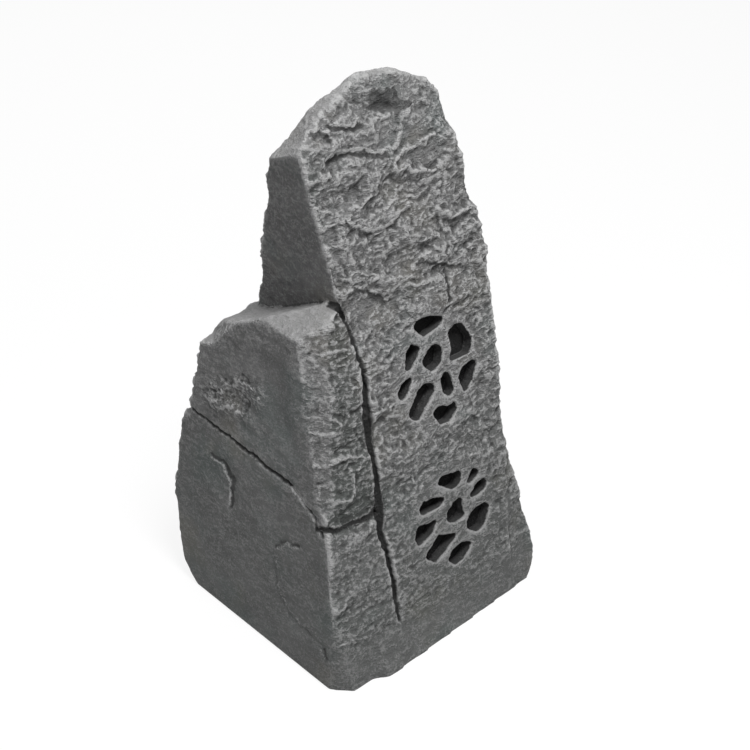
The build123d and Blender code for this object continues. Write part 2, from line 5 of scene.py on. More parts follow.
import bmesh
import bpy
import numpy as np
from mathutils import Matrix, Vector


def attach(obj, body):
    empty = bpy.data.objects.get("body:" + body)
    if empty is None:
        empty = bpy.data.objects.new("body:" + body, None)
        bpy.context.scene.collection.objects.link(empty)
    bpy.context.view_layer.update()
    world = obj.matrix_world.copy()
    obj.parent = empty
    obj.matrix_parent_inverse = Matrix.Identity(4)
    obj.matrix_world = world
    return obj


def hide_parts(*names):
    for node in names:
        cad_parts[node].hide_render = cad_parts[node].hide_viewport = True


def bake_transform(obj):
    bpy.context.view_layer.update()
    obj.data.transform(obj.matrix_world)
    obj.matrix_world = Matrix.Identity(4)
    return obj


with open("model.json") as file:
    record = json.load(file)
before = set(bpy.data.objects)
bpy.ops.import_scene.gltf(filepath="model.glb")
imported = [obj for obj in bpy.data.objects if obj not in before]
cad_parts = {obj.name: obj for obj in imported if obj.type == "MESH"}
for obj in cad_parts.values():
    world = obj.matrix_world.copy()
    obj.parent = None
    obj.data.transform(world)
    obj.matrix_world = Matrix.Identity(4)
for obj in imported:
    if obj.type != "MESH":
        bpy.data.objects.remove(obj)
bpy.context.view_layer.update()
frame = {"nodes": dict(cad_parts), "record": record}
nodes = frame["nodes"]
scene = bpy.context.scene

# Sizes, in metres unless a name says otherwise
rock_grid = 0.0018            # spacing of the rock's first mesh
rock_triangles = 190_000
front_lean = 15.0             # degrees
front_reach = 0.140           # front face at the ground, from the middle
grille_centres = {"upper": (0.048, 0.274), "lower": (0.036, 0.116)}   # to the right, up the front face
grille_radius = 0.062
foam_grid = 0.0011            # spacing of the foam's mesh
scar_backing = (0.0052, 0.0125)   # plate inside the wall behind a scar, below the rock's face
crack_backing = 0.004         # added to the wall from inside behind a crack
recess_middle = (-0.045, 0.046)   # gland's recess in the back, across and up
recess_reach = (0.040, 0.033)
recess_start = 0.095          # towards the back


class Wire:
    """An output socket; sums between wires and numbers add Math nodes."""

    def __init__(self, sheet, socket):
        self.sheet = sheet
        self.socket = socket

    def math(self, operation, *values):
        return self.sheet.add("ShaderNodeMath", {"operation": operation}, dict(enumerate(values)))

    def __add__(self, other):
        return self.math("ADD", self, other)

    def __sub__(self, other):
        return self.math("SUBTRACT", self, other)

    def __rsub__(self, other):
        return self.math("SUBTRACT", other, self)

    def __mul__(self, other):
        return self.math("MULTIPLY", self, other)

    def __truediv__(self, other):
        return self.math("DIVIDE", self, other)

    def most(self, other):
        return self.math("MAXIMUM", self, other)

    def least(self, other):
        return self.math("MINIMUM", self, other)

    def wave(self):
        return self.math("SINE", self)

    def away(self, other):
        return self.math("ABSOLUTE", self - other)

    def step(self, low, high):
        """A smooth rise from 0 at low to 1 at high."""
        ends = {"Value": self, "From Min": low, "From Max": high}
        return self.sheet.add("ShaderNodeMapRange", {"interpolation_type": "SMOOTHSTEP"}, ends)

    __radd__ = __add__
    __rmul__ = __mul__


class Sheet:
    """Adds nodes to a node tree, wired as they are added."""

    def __init__(self, tree):
        self.tree = tree

    def add(self, kind, settings, sockets, out=0):
        node = self.tree.nodes.new(kind)
        for name, value in settings.items():
            setattr(node, name, value)
        for key, value in sockets.items():
            live = [socket for socket in node.inputs if socket.enabled]
            socket = live[key] if isinstance(key, int) else next(s for s in live if s.name == key)
            if isinstance(value, Wire):
                self.tree.links.new(value.socket, socket)
            else:
                socket.default_value = value
        live = [socket for socket in node.outputs if socket.enabled]
        return Wire(self, live[out] if isinstance(out, int) else next(s for s in live if s.name == out))

    def vector(self, operation, *values, out=0):
        return self.add("ShaderNodeVectorMath", {"operation": operation}, dict(enumerate(values)), out)

    def scaled(self, vector, factor):
        return self.add("ShaderNodeVectorMath", {"operation": "SCALE"}, {"Vector": vector, "Scale": factor})

    def dot(self, one, other):
        return self.vector("DOT_PRODUCT", one, other, out="Value")

    def noise(self, place, scale, detail=2.0, roughness=0.5, seed=0.0, out=0):
        sockets = {"Vector": place, "W": seed, "Scale": scale, "Detail": detail, "Roughness": roughness}
        return self.add("ShaderNodeTexNoise", {"noise_dimensions": "4D"}, sockets, out)

    def stretched(self, place, factors):
        return self.vector("MULTIPLY", place, factors)

    def cells(self, place, scale, feature="F1", out="Distance"):
        return self.add("ShaderNodeTexVoronoi", {"feature": feature}, {"Vector": place, "Scale": scale}, out)

    def mix(self, factor, one, other, blend="MIX"):
        settings = {"data_type": "RGBA", "blend_type": blend, "clamp_factor": True}
        return self.add("ShaderNodeMix", settings, {"Factor": factor, "A": one, "B": other})

    def attribute(self, name):
        return self.add("ShaderNodeAttribute", {"attribute_name": name}, {}, "Fac")


def grey(level, tint=(1.0, 1.0, 1.0)):
    return (level * tint[0], level * tint[1], level * tint[2], 1.0)


def finish(name, **constants):
    """A material with a Principled shader, its constants set on the shader's own sockets."""
    material = bpy.data.materials.new(name)
    material.use_nodes = True
    sheet = Sheet(material.node_tree)
    shader = material.node_tree.nodes["Principled BSDF"]
    for socket, value in constants.items():
        shader.inputs[socket.replace("_", " ")].default_value = value
    place = sheet.add("ShaderNodeTexCoord", {}, {}, "Object")

    def coat(**wires):
        for socket, wire in wires.items():
            material.node_tree.links.new(wire.socket, shader.inputs[socket.replace("_", " ")])

    return material, sheet, place, coat


def bump(sheet, height, distance, strength=1.0):
    return sheet.add("ShaderNodeBump", {}, {"Height": height, "Distance": distance, "Strength": strength})


# Camera at the photograph's angle
view_turn = radians(-42.5)
view_rise = radians(32.5)
view_middle = Vector((-0.01576, -0.0500, 0.27875))
view_back = Vector((sin(view_turn) * cos(view_rise), -cos(view_turn) * cos(view_rise), sin(view_rise)))
camera_data = bpy.data.cameras.new("camera")
camera_data.sensor_fit = "HORIZONTAL"
camera_data.sensor_width = 36.0
camera_data.lens = 72.0
camera_data.clip_end = 100.0
camera = bpy.data.objects.new("camera", camera_data)
scene.collection.objects.link(camera)
camera.location = view_middle + view_back * 1.43484
camera.rotation_euler = view_back.to_track_quat("Z", "Y").to_euler()
scene.camera = camera


def new_object(name, mesh):
    made = bpy.data.objects.new(name, mesh)
    scene.collection.objects.link(made)
    return made


def merged_copy(name, *node_names):
    """A new object with the shapes of CAD nodes, their loose triangles joined up."""
    shape = bmesh.new()
    for node_name in node_names:
        shape.from_mesh(nodes[node_name].data)
    bmesh.ops.remove_doubles(shape, verts=shape.verts, dist=2e-6)
    mesh = bpy.data.meshes.new(name)
    shape.to_mesh(mesh)
    shape.free()
    return new_object(name, mesh)


def settled(made):
    """Replaces an object's mesh by what its modifiers make of it, and removes them."""
    graph = bpy.context.evaluated_depsgraph_get()
    mesh = bpy.data.meshes.new_from_object(made.evaluated_get(graph), depsgraph=graph)
    made.modifiers.clear()
    old = made.data
    made.data = mesh
    mesh.name = made.name
    bpy.data.meshes.remove(old)
    return made


def on_grid(made, spacing):
    """Remeshes an object on an even grid."""
    remesh = made.modifiers.new("grid", "REMESH")
    remesh.mode = "VOXEL"
    remesh.voxel_size = spacing
    return settled(made)


def modelling_tree(name, inputs):
    """A Geometry Nodes tree with named inputs: tree, sheet, inputs as wires, and their identifiers."""
    tree = bpy.data.node_groups.new(name, "GeometryNodeTree")
    sheet = Sheet(tree)
    names = {}
    for label, kind in inputs.items():
        socket = tree.interface.new_socket(label, in_out="INPUT", socket_type=f"NodeSocket{kind}")
        names[label] = socket.identifier
    tree.interface.new_socket("Shape", in_out="OUTPUT", socket_type="NodeSocketGeometry")
    entry = tree.nodes.new("NodeGroupInput")
    given = {socket.name: Wire(sheet, socket) for socket in entry.outputs if socket.name}
    return tree, sheet, given, names


def end_tree(sheet, geometry, material):
    """Ends a tree with plain, finished geometry."""
    geometry = sheet.add("GeometryNodeRealizeInstances", {}, {"Geometry": geometry})
    geometry = sheet.add("GeometryNodeSetMaterial", {}, {"Geometry": geometry, "Material": material})
    leave = sheet.tree.nodes.new("NodeGroupOutput")
    sheet.tree.links.new(geometry.socket, leave.inputs[0])


def run_tree(made, tree, names, values):
    """Runs a tree on an object with these input values, and keeps the plain mesh."""
    modifier = made.modifiers.new(tree.name, "NODES")
    modifier.node_group = tree
    for name, value in values.items():
        modifier[names[name]] = value
    return settled(made)


def shade_smooth(made):
    made.data.polygons.foreach_set("use_smooth", np.ones(len(made.data.polygons), bool))


def points_of(mesh):
    places = np.empty(len(mesh.vertices) * 3, np.float32)
    mesh.vertices.foreach_get("co", places)
    return places.reshape(-1, 3).astype(float)


def normals_of(mesh):
    normals = np.empty(len(mesh.vertices) * 3, np.float32)
    mesh.vertex_normals.foreach_get("vector", normals)
    return normals.reshape(-1, 3).astype(float)


def store(mesh, name, values):
    mesh.attributes.new(name, "FLOAT", "POINT").data.foreach_set("value", values.astype(np.float32))


def ramp(values, low, high):
    rise = np.clip((values - low) / (high - low), 0, 1)
    return rise * rise * (3 - 2 * rise)


class Face:
    """A flat face of the rock with its own millimetre grid: across, and up the slope."""

    def __init__(self, facing, lean, reach, height=0.0):
        turn = radians(facing)
        tilt = radians(lean)
        self.origin = np.array([reach * sin(turn), -reach * cos(turn), height])
        self.across = np.array([cos(turn), sin(turn), 0.0])
        self.out = np.array([sin(turn) * cos(tilt), -cos(turn) * cos(tilt), sin(tilt)])
        self.up = np.cross(self.out, self.across)

    def grid(self, places):
        offset = places - self.origin
        return np.stack([offset @ self.across, offset @ self.up], -1) * 1000

    def height(self, places):
        return (places - self.origin) @ self.out * 1000


front_face = Face(0, front_lean, front_reach)
brow_face = Face(2, 26, 0.010, 0.490)
left_face = Face(-90, 7.6, 0.142)


def along(grid, points):
    """Distance of grid places to a line of points, their side of it, and how far along it they are."""
    points = np.array(points, float)
    lengths = np.linalg.norm(np.diff(points, axis=0), axis=1)
    starts = np.concatenate([[0], np.cumsum(lengths)])
    nearest = np.full(len(grid), 1e9)
    side = np.zeros(len(grid))
    run = np.zeros(len(grid))
    for index, length in enumerate(lengths):
        start = points[index]
        way = (points[index + 1] - start) / length
        offset = grid - start
        far = np.clip(offset @ way, 0, length)
        distance = np.linalg.norm(offset - far[:, None] * way, axis=1)
        closer = distance < nearest
        nearest[closer] = distance[closer]
        side[closer] = (way[0] * offset[:, 1] - way[1] * offset[:, 0])[closer]
        run[closer] = (starts[index] + far)[closer]
    return nearest, np.sign(side), run / starts[-1]


def ragged(grid, size):
    """Grid places shifted a little to and fro, so that lines drawn on them wander."""
    u, v = grid.T
    across = np.sin(0.23 * u + 1.7 * np.sin(0.13 * v))
    across = across + 0.5 * np.sin(0.61 * v + 0.37 * u) + 0.2 * np.sin(1.3 * u - 0.9 * v)
    up = np.sin(0.21 * v + 1.9 * np.sin(0.15 * u) + 2.0)
    up = up + 0.5 * np.sin(0.67 * u - 0.29 * v) + 0.2 * np.sin(1.2 * v + 1.1 * u)
    return grid + size * np.stack([across, up], -1) / 2


# Ledges left by flakes, in millimetres: face, line with the low side on its right, drop, fall behind it,
# and how strong the painted highlight along its lip is; a painted shadow lies at each ledge's foot
ledges = [
    (front_face, [(41, 496), (51, 503), (57, 512), (64, 521), (74, 526), (83, 531)], 0.8, 10, 1.0),
    (front_face, [(-42, 508), (-32, 511), (-18, 513), (-6, 511), (12, 506), (25, 499), (41, 496)],
     3.2, 22, 0.9),
    (front_face, [(-30, 455), (-22, 445), (-12, 436), (4, 431)], 1.6, 14, 0.9),
    (front_face, [(-7, 425), (3, 428), (14, 431), (25, 434), (36, 438), (56, 444)], 1.2, 10, 1.0),
    (front_face, [(41, 458), (54, 461), (69, 459), (82, 457), (96, 460)], 0.8, 10, 1.0),
    (front_face, [(69, 421), (82, 426), (88, 411), (91, 400)], 1.2, 10, 0.6),
    (front_face, [(40, 389), (56, 388), (70, 379), (95, 368), (116, 362)], 1.6, 16, 0.4),
    (front_face, [(-46, 386), (-26, 388), (-9, 376), (10, 357)], 1.8, 16, 0.5),
    (front_face, [(75, 336), (77, 350), (78, 369)], 2.4, 8, 0.0),
    (brow_face, [(-57, 38), (-47, 36), (-33, 29), (-22, 21)], 3.6, 14, 0.5),
    (brow_face, [(-26, 35), (-20, 33), (-8, 26), (4, 25), (17, 27)], 2.8, 14, 0.8),
    (left_face, [(-45, 121), (-47, 156), (-64, 168), (-87, 168)], 2.0, 16, 0.5),
    (left_face, [(64, 135), (40, 128), (27, 113)], 1.3, 18, 0.4),
    (left_face, [(27, 113), (32, 86), (40, 65), (71, 49), (108, 54)], 0.7, 12, 0.3),
    (left_face, [(114, 31), (110, 37), (105, 42)], 1.4, 8, 0.4),
]

# Scars of the CAD wall, where it is thinner: face and outline
scars = [
    (front_face, [(-10, 434), (18, 433), (53, 442), (98, 460), (94, 436), (46, 408), (-4, 408)]),
    (front_face, [(41, 496), (51, 499), (63, 516), (83, 525), (107, 514), (112, 480), (62, 472)]),
    (brow_face, [(25, 36), (36, 42), (47, 45), (60, 36), (69, 23), (51, 22), (34, 26)]),
    (left_face, [(-29, 277), (-27, 315), (17, 336), (40, 287), (59, 221), (2, 237)]),
]

# Scars worn into a dish: scar, points of its lip, depth and run of the dish in millimetres
dished = [(scars[2], 4, 4.0, 9), (scars[3], 3, 3.0, 26)]

# Lumpy hollow in the crown, painted dark as painted shade: face and outline
hollow = (brow_face, [(24, 38), (40, 46), (53, 46), (64, 40), (70, 30), (76, 22), (58, 25), (38, 31)])

# Cracks: face, and points across, up and width in millimetres, as the CAD wall has them
cracks = [
    (front_face, [
        (-58, 403, 3), (-60, 391, 4), (-48, 359, 3), (-42, 321, 3), (-43, 293, 6), (-46, 269, 9),
        (-49, 239, 7), (-49, 207, 4), (-52, 171, 11),
        (-57, 143, 5), (-54, 111, 5), (-54, 80, 5), (-56, 46, 2)]),
    (front_face, [(-132, 183, 3), (-104, 170, 3), (-82, 169, 4), (-68, 167, 5), (-50, 171, 8)]),
    (left_face, [
        (-114, 206, 1), (-70, 203, 1), (-14, 200, 2), (40, 196, 2), (57, 191, 2), (73, 182, 2),
        (92, 166, 1)]),
]

# Bare smooth hollow in the left face of the shoulder, and a rough patch behind it
scoop = [(-29, 277), (-27, 315), (17, 336), (40, 287), (59, 221), (75, 180), (53, 209), (2, 237)]
rough_patch = [(-109, 232), (-59, 268), (-15, 283), (-5, 266), (-33, 234), (-75, 219)]


def inside_depth(grid, corners):
    """Millimetres inside an outline, negative outside it."""
    closed = corners + corners[:1]
    distance = along(grid, closed)[0]
    u, v = grid.T
    crossings = np.zeros(len(grid), int)
    for (u0, v0), (u1, v1) in zip(closed, closed[1:]):
        spans = (v0 > v) != (v1 > v)
        crossings += spans & (u < (u1 - u0) * (v - v0) / ((v1 - v0) or 1e-9) + u0)
    return np.where(crossings % 2 == 1, distance, -distance)


def dish(mesh, face, outline, lip_count, depth, run):
    """Turns the flat floor of a scar into a dish that runs out softly all round."""
    places = points_of(mesh)
    grid = face.grid(places)
    height = face.height(places)
    inside = inside_depth(grid, outline)
    level = (height < 0.8) & (height > -5.4)
    lip = along(grid, outline[:lip_count])[0]
    reach = np.where(inside > 0, 1, 1 - ramp(lip, 3, 7))
    floor = -depth * ramp(inside, 0, run)
    places += (level * reach * (floor - height) / 1000)[:, None] * face.out
    mesh.vertices.foreach_set("co", places.astype(np.float32).ravel())
    mesh.update()


def backed(rock):
    """Adds a plate inside the wall behind each scar, so that no relief breaks through it."""
    shape = bmesh.new()
    shape.from_mesh(rock.data)
    for face, outline in scars:
        rings = []
        for depth in scar_backing:
            middle = face.origin - depth * face.out
            corners = [middle + (u * face.across + v * face.up) / 1000 for u, v in outline]
            rings.append([shape.verts.new(corner) for corner in corners])
        near, far = rings
        sides = [(near[i - 1], near[i], far[i], far[i - 1]) for i in range(len(outline))]
        made = [shape.faces.new(corners) for corners in [near, far, *sides]]
        bmesh.ops.recalc_face_normals(shape, faces=made)
    shape.to_mesh(rock.data)
    shape.free()


def back_up(mesh):
    """Thickens the wall from inside behind the cracks."""
    places = points_of(mesh)
    normals = normals_of(mesh)
    behind = np.zeros(len(places))
    for face, points in cracks:
        near = (np.abs(face.height(places)) < 18) * (normals @ face.out < -0.5)
        distance = along(face.grid(places), [(u, v) for u, v, width in points])[0]
        behind = np.maximum(behind, near * (1 - ramp(distance, 6, 14)))
    places += crack_backing * behind[:, None] * normals
    mesh.vertices.foreach_set("co", places.astype(np.float32).ravel())
    mesh.update()


def mark_rock(mesh):
    """Stores where the rock is rough, smooth, cracked or pierced, which faces are painted paler as painted
    top light, and where painted shade and painted highlights go, as the photograph shows it.
    """
    places = points_of(mesh)
    normals = normals_of(mesh)
    height = places[:, 2]

    to_front = ramp(normals @ front_face.out, 0.80, 0.95)
    to_left = ramp(-normals[:, 0], 0.72, 0.93)
    upward = ramp(normals[:, 2], 0.55, 0.80)
    crown = ramp(height, 0.46, 0.51)
    rough = 0.70 + 0.30 * to_front - 0.46 * to_left - 0.36 * upward * (1 - crown) - 0.20 * crown
    rough *= 0.26 + 0.34 * ramp(height, 0.020, 0.060) + 0.40 * ramp(height, 0.06, 0.28)

    left_grid = left_face.grid(places)
    on_shoulder = ramp(normals @ left_face.out, 0.6, 0.85) * (height > 0.17)
    bare = on_shoulder * ramp(inside_depth(ragged(left_grid, 2.0), scoop), -2, 12)
    torn = on_shoulder * ramp(inside_depth(ragged(left_grid, 3.0), rough_patch), -8, 8)
    rough = rough * (1 - 0.7 * bare) + 0.75 * torn

    drop = np.zeros(len(places))
    rim = np.zeros(len(places))
    gloom = np.zeros(len(places))
    for face, points, step, fall, pale in ledges:
        distance, side, run = along(ragged(face.grid(places), 2.6), points)
        near = ramp(normals @ face.out, 0.45, 0.75) * (np.abs(face.height(places)) < 16)
        near *= ramp(run, 0.0, 0.10) * (1 - ramp(run, 0.90, 1.0))
        below = -distance * side
        drop -= step * near * ramp(below, -1.5, 2.5) * np.clip(1 - below / fall, 0, 1)
        # Painted highlight: a pale line along each ledge's upper lip, where light from above would catch it
        rim = np.maximum(rim, pale * near * np.exp(-((below + 1.5) / 2.2) ** 2))
        # Painted shadow: a dark band at the foot of each ledge, under its lip
        foot = ramp(below, -0.5, 1.5) * (1 - ramp(below, 1.5, 6.0))
        gloom = np.maximum(gloom, near * min(step / 2.5, 1) * foot)

    thin = np.zeros(len(places))
    for face, outline in scars:
        near = np.abs(face.height(places)) < 14
        thin = np.maximum(thin, near * ramp(inside_depth(face.grid(places), outline), -5, -1))
    # Painted shade in the crown's hollow
    face, outline = hollow
    near = ramp(normals @ face.out, 0.1, 0.5) * (np.abs(face.height(places)) < 16)
    gloom = np.maximum(gloom, near * ramp(inside_depth(ragged(face.grid(places), 5.0), outline), -5, 3))

    crack = np.zeros(len(places))
    for face, points in cracks:
        grid = ragged(face.grid(places), 1.4)
        distance, _, run = along(grid, [(u, v) for u, v, width in points])
        steps = np.concatenate([[0], np.cumsum([
            sqrt((b[0] - a[0]) ** 2 + (b[1] - a[1]) ** 2) for a, b in zip(points, points[1:])])])
        width = 1.2 * np.interp(run, steps / steps[-1], [width for u, v, width in points]) + 0.4
        near = (np.abs(face.height(places)) < 14) * (normals @ face.out > -0.2)
        crack = np.maximum(crack, near * ramp(-(distance - width / 2), -1.6, 0.6))

    grille = np.zeros(len(places))
    grid = front_face.grid(places)
    for across, up in grille_centres.values():
        distance = np.linalg.norm(grid - np.array([across, up]) * 1000, axis=1) / 1000
        deep = np.abs(front_face.height(places)) < 30
        grille = np.maximum(grille, deep * (1 - ramp(distance, grille_radius - 0.008, grille_radius + 0.004)))

    recess = places[:, 1] > recess_start
    for axis, middle, reach in zip((0, 2), recess_middle, recess_reach):
        recess &= np.abs(places[:, axis] - middle) < reach
    under = ramp(-normals[:, 2], 0.75, 0.95) * (height < 0.004)

    store(mesh, "rough", rough)
    # Upward faces, painted paler in the finish as painted light from above
    store(mesh, "dust", ramp(normals[:, 2], 0.35, 0.85))
    store(mesh, "drop", drop / 1000)
    store(mesh, "crack", crack)
    store(mesh, "rim", rim)
    # The shoulder's front, painted darker in the finish as painted shade
    store(mesh, "dull", to_front * ramp(-places[:, 0], 0.048, 0.060) * ramp(height, 0.15, 0.17))
    store(mesh, "gloom", gloom)
    store(mesh, "thin", np.maximum(thin, ramp(crack, 0.0, 0.3)))
    store(mesh, "grille", grille)
    store(mesh, "hole", grille * (1 - ramp(np.abs(normals @ front_face.out), 0.3, 0.7)))
    raised = 0.25 * ramp(height, 0.0005, 0.008) + 0.75 * ramp(height, 0.006, 0.050)
    store(mesh, "free", raised * (1 - recess))
    store(mesh, "loose", (1 - under) * (1 - recess))


def weathering():
    """Geometry Nodes: wears the edges of the outer skin round, and breaks it into bowls, crests and grain."""
    amounts = ("Swell", "Lump", "Bowl", "Scallop", "Ripple", "Grain", "Crack", "Widen", "Wear", "Seed")
    inputs = {"Rock": "Geometry", "Closed rock": "Object", **dict.fromkeys(amounts, "Float")}
    inputs["Finish"] = "Material"
    tree, sheet, given, names = modelling_tree("rock_weathering", inputs)

    def named(name):
        settings = {"data_type": "FLOAT"}
        return sheet.add("GeometryNodeInputNamedAttribute", settings, {"Name": name}, "Attribute")

    def keep(geometry, name, value):
        settings = {"data_type": "FLOAT", "domain": "POINT"}
        sockets = {"Geometry": geometry, "Name": name, "Value": value}
        return sheet.add("GeometryNodeStoreNamedAttribute", settings, sockets)

    def blurred(value, rounds, kind="FLOAT_VECTOR"):
        sockets = {"Value": value, "Iterations": rounds}
        return sheet.add("GeometryNodeBlurAttribute", {"data_type": kind}, sockets)

    place = sheet.add("GeometryNodeInputPosition", {}, {})
    normal = sheet.add("GeometryNodeInputNormal", {}, {})

    # Sky seen by each point: the inside of the closed rock sees none
    closed = sheet.add("GeometryNodeObjectInfo", {}, {"Object": given["Closed rock"]}, "Geometry")
    lifted = sheet.vector("ADD", place, sheet.scaled(normal, 0.0012))
    ray_count = 22
    seen = 0.0
    total = 0.0
    for index in range(ray_count):
        level = 1 - 2 * (index + 0.5) / ray_count
        turn = pi * (1 + sqrt(5)) * index
        ray = (sqrt(1 - level * level) * cos(turn), sqrt(1 - level * level) * sin(turn), level)
        facing = sheet.dot(normal, ray).most(0.0)
        sockets = {
            "Target Geometry": closed, "Source Position": lifted, "Ray Direction": ray, "Ray Length": 0.8}
        hit = sheet.add("GeometryNodeRaycast", {}, sockets, "Is Hit")
        seen = facing * (1 - hit) + seen
        total = facing + total
    geometry = keep(given["Rock"], "sky", seen / total.most(0.001))
    geometry = keep(geometry, "skin", blurred(named("sky").step(0.015, 0.09), 2, "FLOAT"))

    # Edges worn round, unevenly, with the cracks and the grille webs left sharper
    wide = blurred(place, 6)
    narrow = blurred(place, 4)
    uneven = sheet.noise(place, 40.0, 3.0, 0.6, given["Seed"]).step(0.36, 0.64)
    loose = named("skin") * named("loose") * (1 - named("crack"))
    webs = named("grille")
    rough = named("rough")
    far = loose * (1 - webs) * (0.35 + 0.65 * uneven) * given["Wear"]
    to_wide = sheet.scaled(sheet.vector("SUBTRACT", wide, place), far)
    to_narrow = sheet.scaled(sheet.vector("SUBTRACT", narrow, place), loose * webs * 0.8)
    worn = sheet.vector("ADD", to_wide, to_narrow)
    geometry = sheet.add("GeometryNodeSetPosition", {}, {"Geometry": geometry, "Offset": worn})

    # Broken faces: bowls that meet in sharp crests, at three sizes and lying level, with lumps and grain
    bent = sheet.noise(place, 30.0, 3.0, 0.6, given["Seed"] + 1.0, out="Color")
    bent = sheet.scaled(sheet.vector("SUBTRACT", bent, (0.5, 0.5, 0.5)), 0.035)
    level = sheet.vector("ADD", sheet.stretched(place, (0.42, 0.42, 1.0)), bent)

    def crests(scale, seed):
        return 0.30 - 4.0 * sheet.noise(level, scale, 1.0, 0.5, given["Seed"] + seed).away(0.5)

    lump = sheet.noise(place, 22.0, 3.0, 0.55, given["Seed"]) - 0.5
    grain = sheet.noise(place, 170.0, 3.0, 0.6, given["Seed"] + 12.0) - 0.5
    calm = 1 - 0.8 * webs
    lift = given["Lump"] * lump * (0.35 + 0.65 * rough) + given["Bowl"] * crests(21.0, 2.0) * rough
    lift = (lift + given["Scallop"] * crests(60.0, 4.0) * rough) * calm
    lift = lift + given["Ripple"] * crests(118.0, 8.0) * rough * (1 - 0.7 * webs)
    lift = lift + given["Grain"] * grain * (0.4 + 0.6 * rough) * (1 - 0.6 * webs)
    lift = lift + named("drop") * calm - given["Crack"] * named("crack")
    lift = lift.most(0.0035 * named("thin") - 0.0045)
    lift = lift + given["Swell"] * (1 - named("crack")) - given["Widen"] * named("hole")
    shift = sheet.scaled(normal, lift * named("skin") * named("free"))
    geometry = sheet.add("GeometryNodeSetPosition", {}, {"Geometry": geometry, "Offset": shift})

    # How far each point stands out of its surroundings, near and wide, for the finish
    near = sheet.dot(sheet.vector("SUBTRACT", place, blurred(place, 2)), normal)
    broad = sheet.dot(sheet.vector("SUBTRACT", place, blurred(place, 9)), normal)
    geometry = keep(geometry, "crest", near / 0.0003)
    geometry = keep(geometry, "ridge", broad / 0.0010)
    end_tree(sheet, geometry, given["Finish"])
    return tree, names


def make_rock():
    """The shell as a fine mesh, weathered, with about rock_triangles triangles."""
    closed = merged_copy(
        "closed_rock", "rock_shell", "base_plate", "upper_foam_screen", "lower_foam_screen", "gland_body")
    rock = merged_copy("weathered_rock", "rock_shell")
    backed(rock)
    on_grid(rock, rock_grid)
    for scar, lip_count, depth, run in dished:
        dish(rock.data, *scar, lip_count, depth, run)
    back_up(rock.data)
    mark_rock(rock.data)
    tree, names = weathering()
    amounts = {"Closed rock": closed, "Swell": 0.0010, "Lump": 0.0090, "Bowl": 0.0100, "Scallop": 0.0028,
               "Ripple": 0.0022, "Grain": 0.0020, "Crack": 0.0010, "Widen": 0.0016, "Wear": 0.9, "Seed": 3.0,
               "Finish": finishes["rock_resin"]}
    run_tree(rock, tree, names, amounts)
    thin = rock.modifiers.new("thinning", "DECIMATE")
    thin.ratio = rock_triangles / (2 * len(rock.data.polygons))
    settled(rock)
    bpy.data.objects.remove(closed)
    shade_smooth(rock)
    return rock


